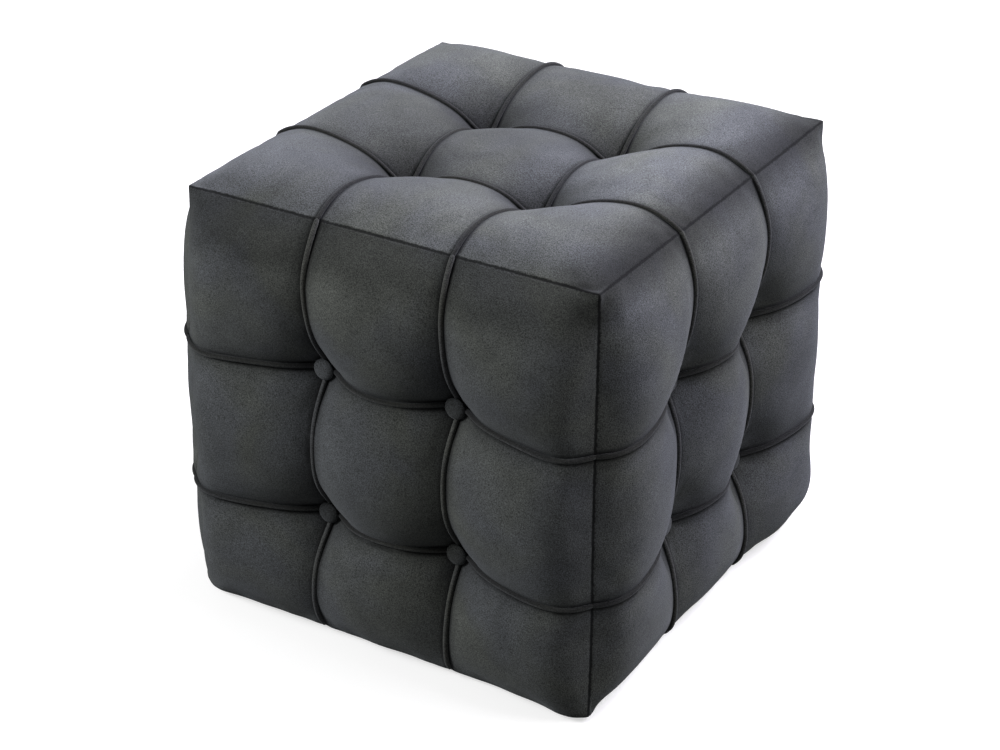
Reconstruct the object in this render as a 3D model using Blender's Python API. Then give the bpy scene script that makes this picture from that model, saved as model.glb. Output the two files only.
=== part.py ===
"""Cube pouf stool: a filled velvet cube, quilted in three by three squares on five faces.

Piping runs in the seams between the squares and a covered button sits on each crossing.
The lower edge is turned under onto a thin black underside panel, which the pouf stands on.
Metres, +Z up. The origin is at the middle of the underside. The front faces -Y.
"""

import math

import bmesh
import bpy
from mathutils import Matrix, Vector

# The cube, measured between its edge seams.
SIDE = 0.400
TOP_SEAM = 0.400
COLUMN = 0.066
ROW_LOW = 0.118
ROW_HIGH = 0.260

# The underside panel, and the gap left between pieces that touch.
UNDERSIDE_THICKNESS = 0.003
UNDERSIDE_INSET = 0.005
UNDERSIDE_CORNER = 0.030
GAP = 0.0003
CLOTH_BOTTOM = UNDERSIDE_THICKNESS + GAP

# How far in from an edge the stuffing takes to fill out.
CORNER_REACH = 0.024
FOOT_REACH = 0.055
TOP_FACE_REACH = 0.046

# How far in from a seam, and from an edge, a square takes to puff up.
SEAM_PUFF_REACH = 0.046
EDGE_PUFF_REACH = 0.064
PUFF_FULLNESS = 1.1

# The funnel that each button's stitch pulls into a face.
FUNNEL_LENGTH = 0.029
FUNNEL_TIP = 0.006

# How far the upright edges of the cube bow out, and how their corners have drifted.
# Each shift fades out up and down over its own reach, and round the cube over EDGE_WIDTH.
EDGE_SHIFTS = (
    # side in x, in y, height, reach up and down, shift in x, in y, in z
    (1, -1, 0.190, 0.200, 0.003, -0.008, -0.002),
    (-1, -1, 0.190, 0.200, -0.001, -0.006, -0.002),
    (1, 1, 0.190, 0.200, -0.001, 0.001, 0.000),
    (-1, 1, 0.190, 0.200, -0.004, 0.005, 0.000),
    (1, -1, 0.003, 0.110, 0.003, -0.009, 0.000),
    (-1, -1, 0.003, 0.110, -0.004, -0.003, 0.000),
    (1, 1, 0.003, 0.080, 0.012, 0.014, 0.000),
    (-1, 1, 0.003, 0.110, -0.002, 0.002, 0.000),
    (1, 1, 0.400, 0.100, 0.003, 0.002, 0.004),
)
EDGE_WIDTH = 0.070

# Piping: its radius, how far its middle stands proud of the seam, how far a button tucks
# it in and over what distance, how high a row of it passes over a column under a button,
# how far short of an edge seam it ends, and the room that the cover's groove leaves round it.
WELT_RADIUS = 0.0022
WELT_PROUD = 0.0018
WELT_TUCK = 0.0048
WELT_TUCK_REACH = 0.022
WELT_CROSSING = 0.0052
WELT_END = 0.0012
WELT_CLEARANCE = 0.0012

# Covered buttons: (radius, height) down the side of one, from its crown to its back.
BUTTON_PROFILE = (
    (0.0000, 0.0052),
    (0.0050, 0.0047),
    (0.0085, 0.0032),
    (0.0100, 0.0015),
    (0.0080, 0.0006),
    (0.0000, 0.0000),
)
BUTTON_RIM_HEIGHT = 0.0006
BUTTON_STEPS = 12
MERGE_DISTANCE = 0.00001

# Where the grid lines of one square lie: two beside each seam, at a distance from it,
# and four between them, as fractions of the square's width.
BESIDE_SEAM = (0.0042, 0.0110)
BETWEEN = (0.19, 0.36, 0.64, 0.81)
SQUARE_LINES = 1 + 2 * len(BESIDE_SEAM) + len(BETWEEN)
LINES = 3 * SQUARE_LINES

# One row a face, in metres: the quarter turns from the front, how far the seams crown out,
# how deep the buttons pull in, how far each square puffs above its seams, how far down
# from the top edge the crown takes to fill out, and how much of it is left at the foot.
FACES = (
    # name, quarter turns, crown, pull, puff, shoulder, foot
    ("front", 0, 0.026, 0.033, 0.012, 0.060, 0.42),
    ("right", 1, 0.020, 0.030, 0.008, 0.064, -0.15),
    ("back", 2, 0.019, 0.033, 0.008, 0.064, 0.20),
    ("left", 3, 0.025, 0.034, 0.010, 0.080, 0.20),
    ("top", None, 0.018, 0.041, 0.0040, None, None),
)

# The seams that crown more or less than their face, at the middle of each of their three
# squares. A column runs from the foot, or the front, and a row from the left.
UNEVEN_SEAMS = (
    # face, seam, first square, middle square, last square
    ("front", "column_1", 0.008, 0.008, 0.004),
    ("front", "column_2", -0.004, 0.002, -0.003),
    ("front", "row_1", 0.000, 0.005, 0.005),
    ("front", "row_2", 0.000, 0.005, 0.002),
    ("right", "column_1", -0.008, -0.007, 0.000),
    ("right", "column_2", -0.004, -0.003, 0.004),
    ("right", "row_1", 0.004, 0.002, 0.002),
    ("right", "row_2", 0.006, 0.007, 0.004),
    ("top", "column_1", 0.000, -0.001, -0.001),
    ("top", "column_2", 0.001, -0.001, 0.002),
    ("top", "row_1", -0.004, -0.006, 0.001),
    ("top", "row_2", -0.006, -0.007, 0.003),
)

# The cloth's colours, as linear values.
CHARCOAL = (0.035, 0.040, 0.042, 1.0)
CHARCOAL_LIGHT = (0.045, 0.051, 0.053, 1.0)
BLACK = (0.006, 0.006, 0.006, 1.0)


def clear_scene():
    for existing in list(bpy.data.objects):
        bpy.data.objects.remove(existing)


def new_collection(name):
    collection = bpy.data.collections.new(name)
    bpy.context.scene.collection.children.link(collection)
    return collection


def cloth_material(name, colour, roughness, sheen):
    material = bpy.data.materials.new(name)
    material.use_nodes = True
    shader = material.node_tree.nodes["Principled BSDF"]
    shader.inputs["Base Color"].default_value = colour
    shader.inputs["Roughness"].default_value = roughness
    shader.inputs["Metallic"].default_value = 0.0
    shader.inputs["Sheen Weight"].default_value = sheen
    material.diffuse_color = colour
    return material


def rise(distance, reach):
    """Climbs from 0 at an edge to 1 at the reach, where it is level."""
    return math.sin(math.pi / 2 * min(max(distance / reach, 0.0), 1.0))


def fading(distance, reach):
    """1 at a spot, falling smoothly to 0 at the reach."""
    return math.cos(math.pi / 2 * min(distance / reach, 1.0)) ** 2


def funnel(distance):
    """1 at a button, falling away with the distance from it."""
    blunted = math.hypot(distance, FUNNEL_TIP) - FUNNEL_TIP
    return math.exp(-blunted / FUNNEL_LENGTH)


def grid_position(index, seams):
    """The place of a grid line, where seams lists the four lines that bound the squares."""
    if index == LINES:
        return seams[3]
    square, line = divmod(index, SQUARE_LINES)
    start, end = seams[square], seams[square + 1]
    between = [start + (end - start) * share for share in BETWEEN]
    after = [start + distance for distance in BESIDE_SEAM]
    before = [end - distance for distance in reversed(BESIDE_SEAM)]
    return (start, *after, *between, *before)[line]


class Face:
    """One quilted face. A place on it is (across, along, out) from the cube's flat side."""

    def __init__(self, name, turns, crown, pull, puff, shoulder, foot):
        self.name = name
        self.crown = crown
        self.pull = pull
        self.puff = puff
        self.shoulder = shoulder
        self.foot = foot
        self.is_top = turns is None
        self.across_seams = (-SIDE / 2, -COLUMN, COLUMN, SIDE / 2)
        if self.is_top:
            self.along_seams = self.across_seams
            self.flat_side = TOP_SEAM
            axes = (Vector((1, 0, 0)), Vector((0, 1, 0)), Vector((0, 0, 1)))
        else:
            self.along_seams = (CLOTH_BOTTOM, ROW_LOW, ROW_HIGH, TOP_SEAM)
            self.flat_side = SIDE / 2
            turn = Matrix.Rotation(turns * math.pi / 2, 3, "Z")
            axes = (turn @ Vector((1, 0, 0)), Vector((0, 0, 1)), turn @ Vector((0, -1, 0)))
        self.axes = axes
        self.uneven = {row[1]: row[2:] for row in UNEVEN_SEAMS if row[0] == name}

    def world(self, across, along, out):
        to_right, to_up, to_out = self.axes
        return to_right * across + to_up * along + to_out * (self.flat_side + out)

    def filled(self, across, along):
        """How far the stuffing has filled out, from 0 at the edge seams to 1."""
        from_left = across + SIDE / 2
        from_right = SIDE / 2 - across
        if self.is_top:
            from_front = along + SIDE / 2
            from_back = SIDE / 2 - along
            reach = TOP_FACE_REACH
            sides = rise(from_left, reach) * rise(from_right, reach)
            return sides * rise(from_front, reach) * rise(from_back, reach)
        sides = rise(from_left, CORNER_REACH) * rise(from_right, CORNER_REACH)
        above_foot = rise(along - CLOTH_BOTTOM, FOOT_REACH)
        upright = self.foot + (1 - self.foot) * above_foot
        return sides * upright * rise(TOP_SEAM - along, self.shoulder)

    def pulled(self, across, along):
        """How far all four buttons pull the face in."""
        total = 0.0
        for column in self.across_seams[1:3]:
            for row in self.along_seams[1:3]:
                total += funnel(math.hypot(across - column, along - row))
        return self.pull * total

    def square_of(self, place, seams):
        for index in range(2):
            if place < seams[index + 1]:
                return index
        return 2

    def unevenness(self, across, along):
        """The uneven crown of the seams round a square, fading to its far side."""
        column = self.square_of(across, self.across_seams)
        row = self.square_of(along, self.along_seams)
        left, right = self.across_seams[column : column + 2]
        low, high = self.along_seams[row : row + 2]
        u = (across - left) / (right - left)
        v = (along - low) / (high - low)
        hump_u = math.sin(math.pi * min(max(u, 0), 1)) ** 2
        hump_v = math.sin(math.pi * min(max(v, 0), 1)) ** 2
        borders = (
            (f"column_{column}", row, hump_v * (1 - u)),
            (f"column_{column + 1}", row, hump_v * u),
            (f"row_{row}", column, hump_u * (1 - v)),
            (f"row_{row + 1}", column, hump_u * v),
        )
        total = 0.0
        for seam, square, share in borders:
            if seam in self.uneven:
                total += self.uneven[seam][square] * share
        return total

    def puffed(self, across, along):
        """How far a square stands above its own seams."""
        share = 1.0
        for place, seams in ((across, self.across_seams), (along, self.along_seams)):
            square = self.square_of(place, seams)
            for border in (square, square + 1):
                distance = abs(place - seams[border])
                if border in (0, 3):
                    share *= rise(distance, EDGE_PUFF_REACH)
                else:
                    share *= rise(distance, SEAM_PUFF_REACH) ** PUFF_FULLNESS
        return self.puff * share

    def seam_height(self, across, along):
        filled = self.filled(across, along)
        crowned = filled * (self.crown - self.pulled(across, along))
        return crowned + self.unevenness(across, along)

    def welt_proud(self, across, along):
        """How far the middle of the piping stands above its seam: a button tucks it in."""
        distances = []
        for column in self.across_seams[1:3]:
            for row in self.along_seams[1:3]:
                distances.append(math.hypot(across - column, along - row))
        outside = max(min(distances) - BESIDE_SEAM[1], 0)
        return WELT_PROUD - WELT_TUCK * fading(outside, WELT_TUCK_REACH)

    def welt_height(self, across, along):
        return self.seam_height(across, along) + self.welt_proud(across, along)

    def welt_slope(self, across, along, step_across, step_along):
        """The steeper of the piping's two slopes, a step to either side of a place on it."""
        height = self.welt_height(across, along)
        ahead = self.welt_height(across + step_across, along + step_along)
        behind = self.welt_height(across - step_across, along - step_along)
        return max(abs(ahead - height), abs(behind - height)) / (step_across + step_along)

    def surface_height(self, across, along):
        return self.seam_height(across, along) + self.puffed(across, along)


def edge_shifted(point):
    """Moves a point near an upright edge of the cube with that edge."""
    shifted = point.copy()
    for side_x, side_y, height, reach, *shift in EDGE_SHIFTS:
        inward_x = max(SIDE / 2 - side_x * point.x, 0)
        inward_y = max(SIDE / 2 - side_y * point.y, 0)
        round_edge = fading(max(inward_x, inward_y), EDGE_WIDTH)
        shifted += Vector(shift) * round_edge * fading(abs(point.z - height), reach)
    return shifted


def groove_depth(slope, lift, proud):
    """How deep the cover sinks under piping, so that neither side of the groove touches it.

    slope is the piping's own, lift is how far the cover stands up beside the seam,
    and proud is how far the middle of the piping stands above it.
    """
    reach = BESIDE_SEAM[0]
    clear = WELT_RADIUS + WELT_CLEARANCE
    level = 1 / math.hypot(1, slope)
    above = (lift - proud) * level
    wide = reach**2 - clear**2
    root = math.sqrt(clear**4 * above**2 + wide * clear**2 * (reach**2 + above**2))
    return (clear**2 * above + root) / (wide * level) - proud


def grooved(face, line_across, line_along, across, along):
    """The height of a grid point, sunk where it lies on a seam that holds piping."""
    inner = (SQUARE_LINES, 2 * SQUARE_LINES)
    near, far = BESIDE_SEAM
    proud = face.welt_proud(across, along)
    height = face.surface_height(across, along)
    depth = 0.0
    for on_seam, x, y in ((line_across in inner, 1, 0), (line_along in inner, 0, 1)):
        if not on_seam:
            continue
        one_bank = face.surface_height(across + near * x, along + near * y)
        other_bank = face.surface_height(across - near * x, along - near * y)
        lift = max(one_bank, other_bank) - height
        slope = face.welt_slope(across, along, far * y, far * x)
        depth = max(depth, groove_depth(slope, lift, proud))
    return height - depth


def cover_point(grid, faces):
    """The place of one point of the cover, from its place (0 to LINES) on the cube's grid."""
    i, j, k = grid
    x = grid_position(i, faces["front"].across_seams)
    y = grid_position(j, faces["right"].across_seams)
    z = grid_position(k, faces["front"].along_seams)
    point = Vector((x, y, z))
    on_faces = (
        ("front", j == 0, i, k, x, z),
        ("right", i == LINES, j, k, y, z),
        ("back", j == LINES, LINES - i, k, -x, z),
        ("left", i == 0, LINES - j, k, -y, z),
        ("top", k == LINES, i, j, x, y),
    )
    for name, is_on, line_across, line_along, across, along in on_faces:
        if not is_on:
            continue
        face = faces[name]
        point += face.axes[2] * grooved(face, line_across, line_along, across, along)
    return edge_shifted(point)


def build_cover(faces, collection, material):
    """The filled cover: a cube's grid, crowned, puffed and pulled in at the seams and buttons."""
    cube = bmesh.new()
    bmesh.ops.create_cube(cube, size=2.0)
    bmesh.ops.subdivide_edges(cube, edges=cube.edges[:], cuts=LINES - 1, use_grid_fill=True)
    under = [face for face in cube.faces if face.normal.z < -0.5]
    bmesh.ops.delete(cube, geom=under, context="FACES")
    for vertex in cube.verts:
        grid = [round((value + 1) * LINES / 2) for value in vertex.co]
        vertex.co = cover_point(grid, faces)
    rim = [edge for edge in cube.edges if edge.is_boundary]
    bmesh.ops.contextual_create(cube, geom=rim)
    bmesh.ops.recalc_face_normals(cube, faces=cube.faces[:])
    mesh = bpy.data.meshes.new("cover")
    cube.to_mesh(mesh)
    cube.free()
    mesh.shade_smooth()
    mesh.materials.append(material)
    cover = bpy.data.objects.new("cover", mesh)
    collection.objects.link(cover)


def welt_route(face, direction, number):
    """The middle line of one piping, which crosses the face between two edge seams."""
    crossings = (SQUARE_LINES, 2 * SQUARE_LINES)
    route = []
    for index in range(LINES + 1):
        crossing = min(crossings, key=lambda line: abs(index - line))
        beside = abs(index - crossing) == 1
        if direction == "column":
            if beside:
                continue
            across = face.across_seams[number]
            along = grid_position(index, face.along_seams)
        else:
            if index == crossing:
                continue
            across = grid_position(index, face.across_seams)
            along = face.along_seams[number]
        height = face.welt_height(across, along)
        if direction == "row" and beside:
            column = grid_position(crossing, face.across_seams)
            height = max(height, face.welt_height(column, along) + WELT_CROSSING)
        route.append(edge_shifted(face.world(across, along, height)))
    route[0] += (route[1] - route[0]).normalized() * WELT_END
    route[-1] += (route[-2] - route[-1]).normalized() * WELT_END
    return route


def build_welt(face, direction, number, collection, material):
    name = f"welt_{face.name}_{direction}_{number}"
    curve = bpy.data.curves.new(name, "CURVE")
    curve.dimensions = "3D"
    curve.bevel_depth = WELT_RADIUS
    curve.bevel_resolution = 1
    curve.use_fill_caps = True
    route = welt_route(face, direction, number)
    spline = curve.splines.new("POLY")
    spline.points.add(len(route) - 1)
    for point, place in zip(spline.points, route):
        point.co = (*place, 1.0)
    curve.materials.append(material)
    welt = bpy.data.objects.new(name, curve)
    collection.objects.link(welt)


def button_mesh(material):
    """One covered button, turned about its shank. Its crown points along +Z."""
    profile = bmesh.new()
    points = [profile.verts.new((radius, 0.0, height)) for radius, height in BUTTON_PROFILE]
    for first, second in zip(points, points[1:]):
        profile.edges.new((first, second))
    bmesh.ops.spin(
        profile,
        geom=profile.verts[:] + profile.edges[:],
        cent=(0, 0, 0),
        axis=(0, 0, 1),
        angle=2 * math.pi,
        steps=BUTTON_STEPS,
        use_merge=True,
    )
    bmesh.ops.remove_doubles(profile, verts=profile.verts[:], dist=MERGE_DISTANCE)
    bmesh.ops.recalc_face_normals(profile, faces=profile.faces[:])
    mesh = bpy.data.meshes.new("button")
    profile.to_mesh(mesh)
    profile.free()
    mesh.shade_smooth()
    mesh.materials.append(material)
    return mesh


def button_height(face, across, along):
    """Where a button's back lies: on the piping that crosses under it and rises round it."""
    crossing = face.seam_height(across, along)
    reach = BESIDE_SEAM[1]
    beside = [(reach, 0), (-reach, 0), (0, reach), (0, -reach)]
    rising = max(face.seam_height(across + x, along + y) for x, y in beside)
    steepness = math.hypot(1, (rising - crossing) / reach)
    on_crossing = crossing + WELT_CROSSING + WELT_RADIUS
    at_rim = rising + WELT_RADIUS * steepness - BUTTON_RIM_HEIGHT
    return max(on_crossing, at_rim) + face.welt_proud(across, along) + 2 * GAP


def place_button(face, number, column, row, mesh, collection):
    across = face.across_seams[column]
    along = face.along_seams[row]
    button = bpy.data.objects.new(f"button_{face.name}_{number}", mesh)
    button.location = face.world(across, along, button_height(face, across, along))
    button.rotation_mode = "QUATERNION"
    button.rotation_quaternion = face.axes[2].to_track_quat("Z", "Y")
    collection.objects.link(button)


def build_underside(collection, material):
    """The black panel under the cover, its corners rounded."""
    width = SIDE - 2 * UNDERSIDE_INSET
    panel = bmesh.new()
    bmesh.ops.create_cube(panel, size=1.0)
    size = Matrix.Diagonal((width, width, UNDERSIDE_THICKNESS, 1.0))
    bmesh.ops.transform(panel, matrix=size, verts=panel.verts[:])
    lift = Vector((0, 0, UNDERSIDE_THICKNESS / 2))
    bmesh.ops.translate(panel, vec=lift, verts=panel.verts[:])
    upright = [edge for edge in panel.edges if edge.verts[0].co.xy == edge.verts[1].co.xy]
    bmesh.ops.bevel(
        panel,
        geom=upright,
        offset=UNDERSIDE_CORNER,
        segments=6,
        profile=0.5,
        affect="EDGES",
    )
    mesh = bpy.data.meshes.new("underside")
    panel.to_mesh(mesh)
    panel.free()
    mesh.materials.append(material)
    underside = bpy.data.objects.new("underside", mesh)
    collection.objects.link(underside)


def main():
    clear_scene()
    pouf = new_collection("cube_pouf")
    velvet = cloth_material("velvet", CHARCOAL, 0.9, 0.6)
    piping = cloth_material("velvet_piping", CHARCOAL_LIGHT, 0.9, 0.6)
    covered = cloth_material("velvet_button", CHARCOAL_LIGHT, 0.9, 0.6)
    black_cloth = cloth_material("black_underside", BLACK, 0.8, 0.0)
    faces = {row[0]: Face(*row) for row in FACES}
    build_cover(faces, pouf, velvet)
    button = button_mesh(covered)
    for face in faces.values():
        for number in (1, 2):
            build_welt(face, "column", number, pouf, piping)
            build_welt(face, "row", number, pouf, piping)
        for number, (column, row) in enumerate(((1, 1), (2, 1), (1, 2), (2, 2)), start=1):
            place_button(face, number, column, row, button, pouf)
    build_underside(pouf, black_cloth)


main()
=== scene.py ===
"""Cube pouf stool: a filled velvet cube, quilted in three by three squares on five faces.

Piping runs in the seams between the squares, a covered button sits on each crossing, and a
black cloth closes the underside. Metres, +Z up, the front faces -Y.
"""

import math

import bmesh
import bpy
import numpy as np
from mathutils import Matrix, Vector, noise
from mathutils.bvhtree import BVHTree
from mathutils.kdtree import KDTree


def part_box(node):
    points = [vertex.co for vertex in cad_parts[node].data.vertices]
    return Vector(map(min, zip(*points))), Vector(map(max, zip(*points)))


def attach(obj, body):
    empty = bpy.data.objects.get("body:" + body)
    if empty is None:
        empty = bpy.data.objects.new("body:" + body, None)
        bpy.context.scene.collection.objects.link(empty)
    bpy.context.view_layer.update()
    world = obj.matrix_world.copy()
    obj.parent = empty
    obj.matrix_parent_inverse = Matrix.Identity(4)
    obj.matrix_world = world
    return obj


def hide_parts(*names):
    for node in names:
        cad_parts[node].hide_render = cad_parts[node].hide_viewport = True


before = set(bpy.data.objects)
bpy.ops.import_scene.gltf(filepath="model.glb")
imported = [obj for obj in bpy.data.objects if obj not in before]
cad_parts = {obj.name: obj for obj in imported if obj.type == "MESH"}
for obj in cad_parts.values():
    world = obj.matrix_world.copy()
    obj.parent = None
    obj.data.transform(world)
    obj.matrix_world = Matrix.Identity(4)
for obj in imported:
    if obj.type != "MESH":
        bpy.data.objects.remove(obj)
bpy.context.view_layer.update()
bpy.ops.object.select_all(action="DESELECT")


# ---- Underside cloth ----
# The black cloth that closes the bottom. It is non-woven polypropylene, cut with round
# corners, folded in along its rim and sewn to the foot of the cover.
underside_low, underside_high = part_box("underside")
underside_size = underside_high - underside_low
underside_corner = 0.030
underside_edge = 0.0009
underside_hem = 0.014
underside_hem_step = 0.0004
underside_facing = -0.9
underside_sharp = 1.0

bpy.ops.mesh.primitive_cube_add(size=1, location=(underside_low + underside_high) / 2)
underside = bpy.context.object
underside.name = "underside_cloth"
underside.scale = underside_size
bpy.ops.object.transform_apply(location=True, rotation=False, scale=True)


def pick(piece, kind, chosen):
    """Opens a piece in edit mode with the verts, edges or faces selected that chosen says."""
    bpy.ops.object.select_all(action="DESELECT")
    piece.select_set(True)
    bpy.context.view_layer.objects.active = piece
    bpy.ops.object.mode_set(mode="EDIT")
    modes = {"verts": "VERT", "edges": "EDGE", "faces": "FACE"}
    bpy.ops.mesh.select_mode(type=modes[kind])
    bpy.ops.mesh.select_all(action="DESELECT")
    mesh = bmesh.from_edit_mesh(piece.data)
    for element in getattr(mesh, kind):
        if chosen(element):
            element.select_set(True)
    mesh.select_flush_mode()
    bmesh.update_edit_mesh(piece.data)


def upright(edge):
    """Whether an edge stands straight up."""
    return (edge.verts[0].co.xy - edge.verts[1].co.xy).length < 1e-5


pick(underside, "edges", upright)
bpy.ops.mesh.bevel(offset=underside_corner, segments=8, profile=0.5)
bpy.ops.object.mode_set(mode="OBJECT")
pick(underside, "faces", lambda face: face.normal.z < underside_facing)
bpy.ops.mesh.inset(thickness=underside_hem)
bpy.ops.transform.translate(value=(0, 0, underside_hem_step))
bpy.ops.object.mode_set(mode="OBJECT")
pick(underside, "edges", lambda edge: edge.calc_face_angle(0) > underside_sharp)
bpy.ops.mesh.bevel(offset=underside_edge, segments=3, profile=0.5)
bpy.ops.object.mode_set(mode="OBJECT")


def linear(hex_colour):
    """An sRGB hex colour as the linear RGBA that a shader takes."""
    channels = [int(hex_colour[start : start + 2], 16) / 255 for start in (1, 3, 5)]
    return (
        *(c / 12.92 if c <= 0.04045 else ((c + 0.055) / 1.055) ** 2.4 for c in channels),
        1.0,
    )


def node(material, kind, settings=None, links=None):
    """Adds a node to a material. Its settings are by name, and its links by input socket."""
    made = material.node_tree.nodes.new(kind)
    for name, value in (settings or {}).items():
        if isinstance(name, str) and hasattr(made, name):
            setattr(made, name, value)
        else:
            made.inputs[name].default_value = value
    for socket, source in (links or {}).items():
        material.node_tree.links.new(made.inputs[socket], source)
    return made


# Non-woven polypropylene: fibres pressed into a mat by small hot pins, which leaves it matt
# black with fine pits 1.5 mm apart.
nonwoven = bpy.data.materials.new("nonwoven_black")
nonwoven.use_nodes = True
nonwoven.node_tree.nodes.clear()
place = node(nonwoven, "ShaderNodeTexCoord").outputs["Object"]
pits = node(
    nonwoven,
    "ShaderNodeTexVoronoi",
    {"Scale": 1 / 0.0015, "Randomness": 0.2},
    {"Vector": place},
)
fibres = node(
    nonwoven,
    "ShaderNodeTexNoise",
    {"Scale": 1 / 0.004, "Detail": 6.0},
    {"Vector": place},
)
tone = node(
    nonwoven,
    "ShaderNodeMix",
    {"data_type": "RGBA", 6: linear("#0b0b0c"), 7: linear("#1d1d1e")},
    {"Factor": fibres.outputs["Fac"]},
)
relief = node(
    nonwoven,
    "ShaderNodeBump",
    {"Strength": 0.5, "Distance": 0.0003},
    {"Height": pits.outputs["Distance"]},
)
nonwoven_shader = node(
    nonwoven,
    "ShaderNodeBsdfPrincipled",
    {"Roughness": 0.85, "IOR": 1.49},
    {"Base Color": tone.outputs[2], "Normal": relief.outputs["Normal"]},
)
node(nonwoven, "ShaderNodeOutputMaterial", links={"Surface": nonwoven_shader.outputs["BSDF"]})
underside.data.materials.clear()
underside.data.materials.append(nonwoven)
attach(underside, "root")
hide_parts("underside")


# ---- Cover ----
# The filled cover: panels of velvet sewn into a cube, with nine squares on each of five faces,
# over foam and wadding. The seams and buttons hold it in and the filling swells it between.

# Where the seams lie, from the middle of the cube and above the floor.
half_side = 0.200
top_seam = 0.400
foot_seam = 0.0033
foot_margin = 0.001
column_place = 0.066
row_places = (0.118, 0.260)
seam_tolerance = 0.0024
# How an edge seam is followed on the solid, and how sharp it stays.
least_straight = 0.3
past_corner = 0.01
edge_crease = 1.0
# How the cloth meets the piping.
below_cloth = 0.002
piping_search = 0.05
under_piping = 0.0001
bank_height = 0.0017
# What belongs to the bottom of the solid, and how far the foot is drawn in and up.
bottom_facing = -0.7
bottom_height = 0.006
turn_in = ((0.010, 0.0), (0.022, 0.0006))


def copy_of(node_name, name):
    """A copy of a solid as a piece of its own, its triangles merged and paired into quads."""
    piece = bpy.data.objects.new(name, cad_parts[node_name].data.copy())
    bpy.context.scene.collection.objects.link(piece)
    pick(piece, "verts", lambda vertex: True)
    bpy.ops.mesh.remove_doubles(threshold=0.00002)
    bpy.ops.mesh.tris_convert_to_quads(
        face_threshold=math.pi, shape_threshold=math.pi, topology_influence=1.5
    )
    bpy.ops.object.mode_set(mode="OBJECT")
    return piece


def reach_of(place):
    """How far a point stands out from the flat sides of the cube, along X, Y and Z."""
    return (abs(place.x) - half_side, abs(place.y) - half_side, place.z - top_seam)


def side_axis(place):
    """Which way the side of the cube faces that a point lies on: 0 for X, 1 for Y, 2 for Z."""
    reach = reach_of(place)
    return reach.index(max(reach))


def outward(place):
    """The direction in which the side of the cube faces that a point lies on."""
    axis = side_axis(place)
    direction = Vector((0, 0, 0))
    direction[axis] = math.copysign(1, place[axis])
    return direction


def seams_at(place):
    """Which coordinates hold a point on a seam between squares: none, one, or two at a button."""
    off_column = (abs(abs(place.x) - column_place), abs(abs(place.y) - column_place))
    off_row = min(abs(place.z - height) for height in row_places)
    off_seam = (*off_column, off_row)
    side = side_axis(place)
    return [axis for axis in range(3) if axis != side and off_seam[axis] < seam_tolerance]


def walked(vertex, heading, towards):
    """The vertices met on the way from one vertex along an axis, row by row of the solid."""
    met = [vertex]
    while True:
        steps = []
        for edge in vertex.link_edges:
            other = edge.other_vert(vertex)
            step = other.co - vertex.co
            steps.append((step[heading] * towards / step.length, other))
        straight, vertex = max(steps, key=lambda pair: pair[0])
        if straight < least_straight or vertex.co.z < foot_seam + foot_margin:
            return met
        met.append(vertex)


def edge_seams(cloth):
    """The vertices of the solid on the seams where two sides of the cube meet."""
    found = set()
    for side_x, side_y in ((-1, -1), (-1, 1), (1, -1), (1, 1)):
        quarter = [
            vertex
            for vertex in cloth.verts
            if min(vertex.co.x * side_x, vertex.co.y * side_y) > half_side / 2
        ]
        corner = max(quarter, key=lambda vertex: min(reach_of(vertex.co)))
        found.update(walked(corner, 2, -1))
        for heading, side in ((0, side_x), (1, side_y)):
            end = abs(corner.co[heading]) + past_corner
            found.update(v for v in walked(corner, heading, -side) if abs(v.co[heading]) < end)
    return found


def surface_of(*kinds):
    """The surface of all solids whose names start with one of these words."""
    corners, sides = [], []
    for name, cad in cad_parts.items():
        if name.startswith(kinds):
            first = len(corners)
            sides += [[first + index for index in side.vertices] for side in cad.data.polygons]
            corners += [vertex.co.copy() for vertex in cad.data.vertices]
    return BVHTree.FromPolygons(corners, sides)


cover = copy_of("cover", "filled_cover")
pick(
    cover,
    "faces",
    lambda face: face.normal.z < bottom_facing and face.calc_center_median().z < bottom_height,
)
bpy.ops.mesh.delete(type="FACE")
bpy.ops.object.mode_set(mode="OBJECT")

# Under the piping the cloth rises to meet it; on an edge seam the stitching draws it in.
piping_surface = surface_of("welt_")
cloth = bmesh.new()
cloth.from_mesh(cover.data)
held = cloth.verts.layers.deform.verify()
crease = cloth.edges.layers.float.new("crease_edge")
edge_seam = edge_seams(cloth)
for edge in cloth.edges:
    if edge_seam.issuperset(edge.verts):
        edge[crease] = edge_crease
seams_group = cover.vertex_groups.new(name="seams").index
edges_group = cover.vertex_groups.new(name="edges").index
lifted = {}
for vertex in cloth.verts:
    place = vertex.co
    seams = seams_at(place)
    banks = [edge.other_vert(vertex) for edge in vertex.link_edges]
    if len(seams) == 1 or vertex in edge_seam and seams:
        across = seams[0]
        banks = [bank for bank in banks if abs(bank.co[across] - place[across]) > seam_tolerance]
    if vertex in edge_seam:
        vertex[held][seams_group] = vertex[held][edges_group] = 1.0
        if seams:
            lifted[vertex] = sum((bank.co for bank in banks), Vector()) / len(banks)
        continue
    if not seams:
        continue
    vertex[held][seams_group] = 1.0
    out = outward(place)
    hit = piping_surface.ray_cast(place - out * below_cloth, out, piping_search)[0]
    level = sum((bank.co.dot(out) for bank in banks), 0.0) / len(banks)
    wanted = level - below_cloth if hit is None else hit.dot(out) - under_piping
    if hit is not None and len(seams) == 1:
        for bank in banks:
            over = bank.co.dot(out) - (wanted + bank_height)
            if over > 0 and not seams_at(bank.co):
                lifted[bank] = bank.co - out * over
                level -= over / 2
    # The rounding will pull a seam towards its banks, so it is set beyond the place wanted.
    lifted[vertex] = place + out * ((6 * wanted - 2 * level) / 4 - place.dot(out))
for vertex, place in lifted.items():
    vertex.co = place
cloth.to_mesh(cover.data)
cloth.free()

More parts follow.
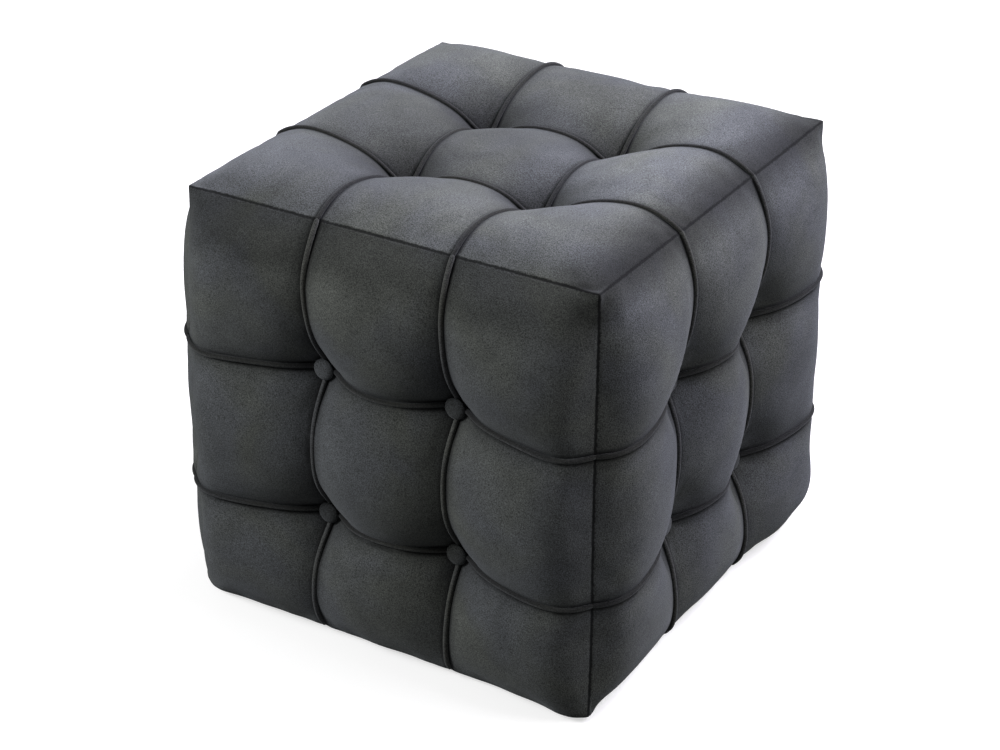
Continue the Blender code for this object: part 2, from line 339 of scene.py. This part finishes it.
# The foot turns under: its edge is drawn in on to the underside cloth and closed.
pick(cover, "edges", lambda edge: edge.is_boundary)
for inward, lift in turn_in:
    bpy.ops.mesh.extrude_edges_move(TRANSFORM_OT_translate={"value": (0, 0, lift)})
    shrink = 1 - inward / half_side
    bpy.ops.transform.resize(value=(shrink, shrink, 1), center_override=(0, 0, 0))
bpy.ops.mesh.edge_face_add()
bpy.ops.mesh.select_all(action="SELECT")
bpy.ops.mesh.normals_make_consistent(inside=False)
bpy.ops.object.mode_set(mode="OBJECT")


def smoothed(piece, levels):
    """Rounds a piece with a subdivision surface and applies it."""
    rounding = piece.modifiers.new("Rounding", "SUBSURF")
    rounding.levels = rounding.render_levels = levels
    bpy.context.view_layer.objects.active = piece
    bpy.ops.object.modifier_apply(modifier=rounding.name)


def points_of(piece):
    """The places of a piece's vertices, one row each."""
    points = np.empty(len(piece.data.vertices) * 3, np.float32)
    piece.data.vertices.foreach_get("co", points)
    return points.reshape(-1, 3).astype(float)


def set_points(piece, points):
    """Moves a piece's vertices to these places."""
    piece.data.vertices.foreach_set("co", points.astype(np.float32).ravel())
    piece.data.update()


# The filling swells the cloth between the seams, which are held. The swell fades out towards
# the piping, and stays under its limit everywhere.
swell_frames = 20
swell_limit = 0.0025
swell_reach = 0.030
swell_least = 0.05
swell_fade = 1.5
smoothed(cover, 1)
flat_points = points_of(cover)
foot_points = np.flatnonzero(flat_points[:, 2] < foot_seam + 2 * foot_margin)
cover.vertex_groups["seams"].add(foot_points.tolist(), 1.0, "REPLACE")
velvet_cloth = cover.modifiers.new("Cloth", "CLOTH")
velvet_cloth.settings.quality = 6
velvet_cloth.settings.mass = 0.35
velvet_cloth.settings.tension_stiffness = 18
velvet_cloth.settings.compression_stiffness = 18
velvet_cloth.settings.shear_stiffness = 8
velvet_cloth.settings.bending_stiffness = 0.4
velvet_cloth.settings.shrink_min = -0.012
velvet_cloth.settings.use_pressure = True
velvet_cloth.settings.uniform_pressure_force = 4
velvet_cloth.settings.vertex_group_mass = "seams"
velvet_cloth.settings.effector_weights.gravity = 0
velvet_cloth.collision_settings.use_collision = False
velvet_cloth.point_cache.frame_start = 1
velvet_cloth.point_cache.frame_end = swell_frames
for frame_number in range(1, swell_frames + 1):
    bpy.context.scene.frame_set(frame_number)
bpy.ops.object.modifier_apply(modifier=velvet_cloth.name)
bpy.context.scene.frame_set(1)
swell = points_of(cover) - flat_points
length = np.linalg.norm(swell, axis=1, keepdims=True)
away = [piping_surface.find_nearest(place)[3] or 1.0 for place in map(Vector, flat_points)]
fade = np.clip(np.array(away) / swell_reach, swell_least, 1)[:, None] ** swell_fade
limit = swell_limit * fade
kept = limit * np.tanh(length / limit) / np.maximum(length, 1e-9)
set_points(cover, flat_points + swell * kept)
smoothed(cover, 1)

# How far each point lies from the nearest piping or button.
trim_surface = surface_of("welt_", "button_")
from_trim = np.array([trim_surface.find_nearest(vertex.co)[3] for vertex in cover.data.vertices])
button_middles = {
    name: sum(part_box(name), Vector()) / 2 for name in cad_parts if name.startswith("button_")
}

# The filling stands out at the corners where the row piping ends, and in the middle of the
# right side. At the far foot the corner is drawn in and the cloth before it stands out.
uneven_places = (
    # middle, reach, shift
    ((-0.202, -0.202, 0.118), 0.024, (-0.0038, -0.0038, 0)),
    ((-0.202, -0.202, 0.260), 0.018, (-0.0028, -0.0028, 0)),
    ((0.202, 0.202, 0.118), 0.028, (0.0048, 0.0048, 0)),
    ((0.202, 0.202, 0.190), 0.030, (0.0020, 0.0020, 0)),
    ((0.202, 0.202, 0.260), 0.024, (0.0046, 0.0046, 0)),
    ((-0.202, 0.202, 0.118), 0.018, (-0.0020, 0.0020, 0)),
    ((-0.202, 0.202, 0.260), 0.018, (-0.0020, 0.0020, 0)),
    ((0.205, 0.015, 0.118), 0.024, (0.0030, 0, 0)),
    ((0.205, 0.015, 0.260), 0.024, (0.0030, 0, 0)),
    ((0.205, 0.205, 0.012), 0.032, (-0.0080, -0.0080, 0)),
    ((0.205, 0.140, 0.008), 0.042, (0.0075, 0, 0)),
)


def near(points, middle, reach):
    """How near each point is to a place: 1 there, and close to 0 past twice the reach."""
    squared = ((points - np.array(middle)) ** 2).sum(axis=1)
    return np.exp(-squared / reach**2)


def uneven(points):
    """Points of the solid, moved as the filling stands out or draws in around them."""
    moved = points.copy()
    for middle, reach, shift in uneven_places:
        moved += near(points, middle, reach)[:, None] * np.array(shift)
    return moved


# On the right the buttons are pulled tighter, which widens the hollow round each of them.
hollow_ring = 0.028
hollow_width = 0.014
hollow_depth = 0.0045
hollow_clear = 0.008
even_points = points_of(cover)
for name, middle in button_middles.items():
    if name.startswith("button_right"):
        apart = np.linalg.norm(even_points - np.array(middle), axis=1)
        hollow = np.exp(-(((apart - hollow_ring) / hollow_width) ** 2))
        even_points[:, 0] -= hollow_depth * hollow * np.clip(from_trim / hollow_clear, 0, 1)
even_points = uneven(even_points)
set_points(cover, even_points)


def nearest_of(places):
    """A search tree that finds the nearest of some places."""
    tree = KDTree(len(places))
    for index, place in enumerate(places):
        tree.insert(place, index)
    tree.balance()
    return tree


# How far each point lies from the nearest edge seam.
full_weight = 0.99
seam_line = []
for vertex in cover.data.vertices:
    weights = {share.group: share.weight for share in vertex.groups}
    if weights.get(edges_group, 0) > full_weight:
        seam_line.append(vertex.co.copy())
edge_line = nearest_of(seam_line)
from_edge = np.array([edge_line.find(vertex.co)[2] for vertex in cover.data.vertices])

# The stitching draws each edge seam in a little, and the cloth puckers beside it.
on_seam = 0.0003
seam_draw = 0.0007
pucker_height = 0.0006
pucker_length = 0.007
pucker_start = 0.002
pucker_reach = 0.012
normals = np.array([tuple(vertex.normal) for vertex in cover.data.vertices])
puckers = np.array([noise.noise(Vector(place) / pucker_length) for place in even_points])
puckers *= pucker_height * np.clip(1 - from_edge / pucker_reach, 0, 1)
puckers *= np.clip(from_edge / pucker_start, 0, 1)
drawn = np.where(from_edge < on_seam, seam_draw, 0.0)
set_points(cover, even_points + normals * (puckers - drawn)[:, None])
cover.data.shade_smooth()

# Each panel is lighter or darker in patches, partly where hands and packing have brushed the pile
# and partly painted light and shade, such as painted shade on the lower parts of squares.
brushed_and_shaded_places = (
    # middle, reach, share of the light
    ((0.115, 0.000, 0.42), 0.085, 1.75),
    ((0.120, 0.140, 0.42), 0.070, 1.40),
    ((0.070, -0.150, 0.41), 0.070, 1.40),
    ((0.000, 0.020, 0.42), 0.050, 0.82),
    ((-0.080, -0.010, 0.41), 0.050, 0.88),
    ((-0.130, 0.120, 0.42), 0.070, 1.25),
    ((-0.140, -0.140, 0.41), 0.060, 1.25),
    ((0.210, -0.120, 0.36), 0.055, 1.08),
    ((0.220, 0.140, 0.20), 0.110, 0.95),
    ((-0.130, -0.220, 0.30), 0.060, 1.22),
    ((-0.130, -0.205, 0.388), 0.050, 0.72),
    ((0.150, -0.220, 0.285), 0.032, 0.78),
)
# This attribute holds brushed pile and painted light and shade together.
nap_and_shade = np.ones(len(even_points))
for middle, reach, share in brushed_and_shaded_places:
    nap_and_shade *= 1 + (share - 1) * near(even_points, middle, reach)
# Painted shade darkens the hollows round the buttons, deepest on top.
hollow_shade_reach = {0: 0.030, 1: 0.036, 2: 0.046}
hollow_shade_share = {0: 0.80, 1: 0.72, 2: 0.34}
for middle in button_middles.values():
    side = side_axis(middle)
    nap_and_shade *= 1 - (1 - hollow_shade_share[side]) * near(even_points, middle, hollow_shade_reach[side])
# Painted shade darkens the cloth beside the piping, least on top, and a painted contact shadow
# makes it darkest at the foot.
piping_shade_reach = 0.013
piping_shade_share = {0: 0.48, 1: 0.60, 2: 0.70}
foot_shade_from = 0.002
foot_shade_height = 0.010
foot_shade_share = 0.10
point_sides = [side_axis(Vector(place)) for place in even_points]
piping_shade_shares = np.array([piping_shade_share[side] for side in point_sides])
nap_and_shade *= piping_shade_shares + (1 - piping_shade_shares) * np.clip(from_trim / piping_shade_reach, 0, 1)
nap_and_shade *= np.clip((even_points[:, 2] - foot_shade_from) / foot_shade_height, foot_shade_share, 1)
# On the front and back, a band under the top seam is darker, with a wavy lower end.
band_height = 0.036
band_share = 0.54
band_end = 1.35
band_fade = 0.6
band_wave_height = 0.010
band_wave_length = 0.030
# Along the right top edge the cloth is darker, on top more than at the side.
right_edge_reach = {0: 0.028, 2: 0.040}
right_edge_share = {0: 0.30, 2: 0.18}
right_edge_fade = 1.4
right_edge_x = 0.186
right_edge_z = 0.385
right_edge = nearest_of(
    [place for place in seam_line if place.x > right_edge_x and place.z > right_edge_z]
)
for index, (place, side) in enumerate(zip(map(Vector, even_points), point_sides)):
    if side == 1:
        waves = band_wave_height * noise.noise(place / band_wave_length)
        below = (top_seam - even_points[index, 2] + waves) / band_height
        shaded = min(1.0, max(0.0, (band_end - below) / band_fade))
        nap_and_shade[index] *= 1 - (1 - band_share) * shaded
    else:
        share = right_edge_share[side]
        away = min(1.0, right_edge.find(place)[2] / right_edge_reach[side])
        nap_and_shade[index] *= share + (1 - share) * away**right_edge_fade
for name, values in (("from_edge", from_edge), ("from_trim", from_trim), ("nap_and_shade", nap_and_shade)):
    cover.data.attributes.new(name, "FLOAT", "POINT").data.foreach_set("value", values)


# Velvet: a woven polyester ground with a dense cut pile 1 mm long, dyed charcoal. The pile
# swallows light face on, so its tips show as fine specks, and brushing leaves it patchy.
def velvet(name, dark, cool, warm, seams_and_crevice_shade):
    """A velvet, dark at the root of its pile, with cool and warm tips. The last argument adds
    dark seam thread and painted shade beside the piping.
    """
    material = bpy.data.materials.new(name)
    material.use_nodes = True
    material.node_tree.nodes.clear()
    place = node(material, "ShaderNodeTexCoord").outputs["Object"]

    # Tufts drawn 1 mm across, about three times their real width, so that they show.
    pile = node(
        material,
        "ShaderNodeTexNoise",
        {"Scale": 1 / 0.0010, "Detail": 2.0, "Roughness": 0.7},
        {"Vector": place},
    ).outputs["Fac"]
    tips = node(
        material, "ShaderNodeMapRange", {"From Min": 0.32, "From Max": 0.68}, {"Value": pile}
    ).outputs["Result"]

    # The dye took a little bluer in some places and greener in others, about 90 mm apart.
    dyed = node(
        material,
        "ShaderNodeTexNoise",
        {"Scale": 1 / 0.090, "Detail": 2.0, "Roughness": 0.5, "Distortion": 0.5},
        {"Vector": place},
    ).outputs["Fac"]
    dye = node(
        material, "ShaderNodeMapRange", {"From Min": 0.38, "From Max": 0.62}, {"Value": dyed}
    ).outputs["Result"]
    light = node(
        material,
        "ShaderNodeMix",
        {"data_type": "RGBA", 6: linear(cool), 7: linear(warm)},
        {"Factor": dye},
    ).outputs[2]
    colour = node(
        material,
        "ShaderNodeMix",
        {"data_type": "RGBA", 6: linear(dark)},
        {"Factor": tips, 7: light},
    ).outputs[2]

    # Brushing turned the pile in patches the width of a hand, besides the brushed patches and
    # painted shade that the cover's attribute carries.
    brushed = node(
        material,
        "ShaderNodeTexNoise",
        {"Scale": 1 / 0.055, "Detail": 5.0, "Roughness": 0.6, "Distortion": 0.8},
        {"Vector": place},
    ).outputs["Fac"]
    patches = node(
        material,
        "ShaderNodeMapRange",
        {"From Min": 0.3, "From Max": 0.7, "To Min": 0.80, "To Max": 1.20},
        {"Value": brushed},
    ).outputs["Result"]
    nap_and_painted_shade = node(material, "ShaderNodeAttribute", {"attribute_name": "nap_and_shade"}).outputs["Fac"]
    gain = node(
        material, "ShaderNodeMath", {"operation": "MULTIPLY"}, {0: nap_and_painted_shade, 1: patches}
    ).outputs[0]

    if seams_and_crevice_shade:
        # Dark thread shows along an edge seam, and painted shade darkens the crevice beside the
        # piping.
        edge = node(
            material, "ShaderNodeAttribute", {"attribute_name": "from_edge"}
        ).outputs["Fac"]
        beside = node(
            material, "ShaderNodeAttribute", {"attribute_name": "from_trim"}
        ).outputs["Fac"]
        stitches = node(
            material, "ShaderNodeTexNoise", {"Scale": 1 / 0.003, "Detail": 1.0}, {"Vector": place}
        ).outputs["Fac"]
        wander = node(
            material,
            "ShaderNodeMapRange",
            {"From Min": 0.3, "From Max": 0.7, "To Min": -0.0003, "To Max": 0.0005},
            {"Value": stitches},
        ).outputs["Result"]
        thread = node(
            material, "ShaderNodeMath", {"operation": "ADD"}, {0: edge, 1: wander}
        ).outputs[0]
        thread_dark = node(
            material,
            "ShaderNodeMapRange",
            {"From Min": 0.0009, "From Max": 0.0018, "To Min": 0.14},
            {"Value": thread},
        ).outputs["Result"]
        crevice_shade = node(
            material,
            "ShaderNodeMapRange",
            {"From Min": 0.0008, "From Max": 0.0042, "To Min": 0.10},
            {"Value": beside},
        ).outputs["Result"]
        thread_and_crevice_shade = node(
            material,
            "ShaderNodeMath",
            {"operation": "MULTIPLY"},
            {0: thread_dark, 1: crevice_shade},
        ).outputs[0]
        gain = node(
            material, "ShaderNodeMath", {"operation": "MULTIPLY"}, {0: gain, 1: thread_and_crevice_shade}
        ).outputs[0]

    colour = node(
        material, "ShaderNodeHueSaturation", links={"Color": colour, "Value": gain}
    ).outputs["Color"]
    relief = node(
        material,
        "ShaderNodeBump",
        {"Strength": 0.4, "Distance": 0.0008},
        {"Height": pile},
    ).outputs["Normal"]
    shader = node(
        material,
        "ShaderNodeBsdfPrincipled",
        {
            "Roughness": 0.9,
            "IOR": 1.45,
            "Specular IOR Level": 0.15,
            "Sheen Weight": 0.12,
            "Sheen Roughness": 0.5,
            "Sheen Tint": linear("#dfe6ee"),
        },
        {"Base Color": colour, "Normal": relief},
    )
    node(material, "ShaderNodeOutputMaterial", links={"Surface": shader.outputs["BSDF"]})
    return material


charcoal = ("#282927", "#585b5f", "#5b5e5a")
cover.data.materials.clear()
cover.data.materials.append(velvet("velvet_charcoal", *charcoal, seams_and_crevice_shade=True))
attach(cover, "root")
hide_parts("cover")


# ---- Piping ----
# A strip of the same velvet folded over a 4 mm cord and sewn into each seam between squares.
# It runs from edge to edge, and the buttons pull it down where it crosses.

# How much thicker it is than its solid, by side of the cube, how much further out it lies, and
# how far its middle may stand off the cloth.
piping_swell = {0: 0.0005, 1: 0.0005, 2: 0.00005}
piping_lift = 0.0011
piping_stand = 0.0020
# Where its ends are sewn in.
piping_end_reach = 0.018
piping_past_seam = 0.0012
tip_vertices = 6
foot_level = 0.0075
foot_bite = 0.0008
# Where it is laid on the cloth along its run.
station_start = 0.001
station_step = 0.003
station_reach = 0.004
# How light it is painted, by side of the cube, as painted light and shade for how the light falls
# on each side.
piping_side_shade = {0: 0.95, 1: 1.2, 2: 0.5}
# Painted shade darkens it towards the foot.
piping_foot_shade_height = 0.007
piping_foot_shade_share = 0.2
row_crevice_shade = 0.78
row_top_shade_share = 0.45
row_top_facing = (-0.1, 0.5)
near_button_shade_share = 0.45
near_button_shade_reach = 0.024

cover_surface = BVHTree.FromPolygons(
    [vertex.co.copy() for vertex in cover.data.vertices],
    [list(side.vertices) for side in cover.data.polygons],
)


def sewn_in(welt):
    """Brings both ends of a piping on to the seam or the foot where it is sewn in."""
    points = points_of(welt)
    low, high = points.min(axis=0), points.max(axis=0)
    run = int(np.argmax(high - low))
    moved = points.copy()
    for end, towards in ((low[run], -1), (high[run], 1)):
        off = np.abs(points[:, run] - end)
        tip = Vector(points[np.argsort(off)[:tip_vertices]].mean(axis=0))
        if run == 2 and towards < 0:
            target, facing = cover_surface.find_nearest(Vector((tip.x, tip.y, foot_level)))[:2]
            target = Vector((target.x, target.y, foot_level)) - facing * foot_bite
        else:
            target = edge_line.find(tip)[0].copy()
            target[run] += towards * piping_past_seam
        fade = np.clip(1 - off / piping_end_reach, 0, 1)
        fade = (fade * fade * (3 - 2 * fade))[:, None]
        moved += fade * np.array(target - tip)
    # Between them it lies on the cloth wherever the cloth has been drawn in from under it.
    low, high = moved.min(axis=0)[run], moved.max(axis=0)[run]
    stations = np.arange(low + station_start, high, station_step)
    drops = []
    for station in stations:
        near_station = moved[np.abs(moved[:, run] - station) < station_reach]
        if not len(near_station):
            drops.append((0.0, 0.0, 0.0))
            continue
        middle = Vector(near_station.mean(axis=0))
        touched, facing, _, apart = cover_surface.find_nearest(middle)
        outside = (middle - touched).dot(facing) > 0
        excess = max(0.0, apart - piping_stand) / apart if outside and apart > 0 else 0.0
        drops.append(tuple((touched - middle) * excess))
    drops = np.array(drops)
    for axis in range(3):
        moved[:, axis] += np.interp(moved[:, run], stations, drops[:, axis])
    set_points(welt, moved)


# The piping is the same velvet, painted darker as shade.
shaded_charcoal = ("#1f2020", "#48494b", "#4b4c47")
velvet_piping = velvet("velvet_piping", *shaded_charcoal, seams_and_crevice_shade=False)
for name in [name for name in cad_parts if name.startswith("welt_")]:
    welt = copy_of(name, name.replace("welt", "piping"))
    middle = sum(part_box(name), Vector()) / 2
    side = side_axis(middle)
    pick(welt, "verts", lambda vertex: True)
    bpy.ops.transform.shrink_fatten(value=piping_swell[side])
    bpy.ops.transform.translate(value=outward(middle) * piping_lift)
    bpy.ops.object.mode_set(mode="OBJECT")
    set_points(welt, uneven(points_of(welt)))
    sewn_in(welt)
    smoothed(welt, 2)
    welt.data.shade_smooth()
    points = points_of(welt)
    # Painted shade darkens it towards the foot.
    above_foot = (points[:, 2] - foot_shade_from) / piping_foot_shade_height
    nap_and_shade = piping_side_shade[side] * np.clip(above_foot, piping_foot_shade_share, 1)
    if "row" in name and side != 2:
        # Painted shade: the upper half lies in the crevice under the squares, and is darkest at
        # the buttons.
        up = np.array([vertex.normal.z for vertex in welt.data.vertices])
        nap_and_shade *= row_crevice_shade * np.interp(up, row_top_facing, (1.0, row_top_shade_share))
        for crossing in button_middles.values():
            nap_and_shade *= 1 - (1 - near_button_shade_share) * near(points, crossing, near_button_shade_reach)
    welt.data.attributes.new("nap_and_shade", "FLOAT", "POINT").data.foreach_set("value", nap_and_shade)
    welt.data.materials.clear()
    welt.data.materials.append(velvet_piping)
    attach(welt, "root")
    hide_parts(name)


# ---- Buttons ----
# Self-covered buttons, 20 mm across: a metal shell with a disc of the velvet pulled over it
# and gathered under the rim. A stitch through the filling pulls each one in.
button_profile = (
    # radius, height from the back of the rim
    (0.0096, 0.0004),
    (0.0101, 0.0014),
    (0.0096, 0.0026),
    (0.0078, 0.0040),
    (0.0050, 0.0049),
    (0.0020, 0.0052),
)
button_sides = 40
# How deep each button is pulled in past its solid, by side of the cube.
button_sinks = {0: 0.0006, 1: 0.0006, 2: 0.0050}
# Four buttons are lighter, and the others are darker.
lighter_buttons = ("button_front_3", "button_right_1", "button_left_2", "button_back_4")
lighter_button_tone = 1.15
darker_button_tone = 0.62

bpy.ops.mesh.primitive_circle_add(
    vertices=button_sides, radius=button_profile[0][0], fill_type="NOTHING", location=(0, 0, 0)
)
button_pattern = bpy.context.object
button_pattern.name = "button_pattern"
bpy.ops.object.mode_set(mode="EDIT")
bpy.ops.mesh.select_all(action="SELECT")
for (radius, height), (next_radius, next_height) in zip(button_profile, button_profile[1:]):
    bpy.ops.mesh.extrude_edges_move(
        TRANSFORM_OT_translate={"value": (0, 0, next_height - height)}
    )
    shrink = next_radius / radius
    bpy.ops.transform.resize(value=(shrink, shrink, 1))
bpy.ops.mesh.edge_face_add()
bpy.ops.mesh.select_all(action="DESELECT")
bpy.ops.object.mode_set(mode="OBJECT")
pick(button_pattern, "edges", lambda edge: edge.is_boundary)
bpy.ops.mesh.edge_face_add()
bpy.ops.mesh.select_all(action="SELECT")
bpy.ops.mesh.normals_make_consistent(inside=False)
bpy.ops.object.mode_set(mode="OBJECT")
smoothed(button_pattern, 1)
button_pattern.data.shade_smooth()
velvet_button = velvet("velvet_button", *charcoal, seams_and_crevice_shade=False)
button_pattern.data.materials.append(velvet_button)

for name, middle in button_middles.items():
    low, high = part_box(name)
    out = outward(middle)
    back = middle - out * abs((high - low).dot(out)) / 2
    turn = out.to_track_quat("Z", "Y").to_matrix().to_4x4()
    covered_name = name.replace("button", "covered_button")
    button = bpy.data.objects.new(covered_name, button_pattern.data.copy())
    bpy.context.scene.collection.objects.link(button)
    sink = button_sinks[side_axis(middle)]
    button.data.transform(Matrix.Translation(back - out * sink) @ turn)
    nap_and_shade = [lighter_button_tone if name in lighter_buttons else darker_button_tone] * len(button.data.vertices)
    button.data.attributes.new("nap_and_shade", "FLOAT", "POINT").data.foreach_set("value", nap_and_shade)
    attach(button, "root")
    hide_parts(name)
bpy.data.objects.remove(button_pattern)


# ---- Floor, light and camera ----
# A white paper sweep under soft boxes, seen from the front right and a little above. The paper
# glows a little to stay white, and it neither lights the cube nor shows in it.
bpy.ops.mesh.primitive_plane_add(size=80, location=(0, 0, 0))
floor = bpy.context.object
floor.name = "floor"
floor.visible_diffuse = False
floor.visible_glossy = False
paper = bpy.data.materials.new("paper_white")
paper.use_nodes = True
for socket, value in (
    ("Base Color", linear("#c8c8c8")),
    ("Roughness", 0.9),
    ("Specular IOR Level", 0.0),
    ("Emission Color", (1.0, 1.0, 1.0, 1.0)),
    ("Emission Strength", 0.58),
):
    paper.node_tree.nodes["Principled BSDF"].inputs[socket].default_value = value
floor.data.materials.append(paper)

world = bpy.data.worlds.new("studio")
bpy.context.scene.world = world
world.use_nodes = True
world.node_tree.nodes["Background"].inputs["Color"].default_value = (1.0, 1.0, 1.0, 1.0)
world.node_tree.nodes["Background"].inputs["Strength"].default_value = 0.16
for name, place, size, power, tint in (
    ("overhead", (1.0, 1.2, 2.0), 1.2, 84, (0.90, 0.87, 1.0)),
    ("behind", (0.3, 1.8, 1.8), 1.2, 31, (0.90, 0.87, 1.0)),
    ("right", (2.0, 0.2, 2.0), 1.0, 26, (0.98, 0.95, 1.0)),
    ("right_low", (2.4, -0.6, 0.7), 1.2, 3, (1.0, 1.0, 1.0)),
    ("front_left", (-1.8, -1.6, 1.6), 1.0, 70, (1.0, 1.0, 1.0)),
):
    box = bpy.data.lights.new(name, "AREA")
    box.energy = power
    box.size = size
    box.color = tint
    lamp = bpy.data.objects.new(name, box)
    bpy.context.scene.collection.objects.link(lamp)
    lamp.location = place
    aim = Vector((0, 0, 0.2)) - Vector(place)
    lamp.rotation_euler = aim.to_track_quat("-Z", "Y").to_euler()

camera_turn = math.radians(31.40)
camera_rise = math.radians(28.3)
camera_distance = 2.24
camera_aim = Vector((0.0088, -0.0348, 0.200))
back = Vector(
    (
        math.sin(camera_turn) * math.cos(camera_rise),
        -math.cos(camera_turn) * math.cos(camera_rise),
        math.sin(camera_rise),
    )
)
lens = bpy.data.cameras.new("camera")
lens.sensor_width = 36
lens.lens = 90
camera = bpy.data.objects.new("camera", lens)
bpy.context.scene.collection.objects.link(camera)
camera.location = camera_aim + back * camera_distance
camera.rotation_euler = back.to_track_quat("Z", "Y").to_euler()
bpy.context.scene.camera = camera
bpy.context.scene.view_settings.view_transform = "Standard"
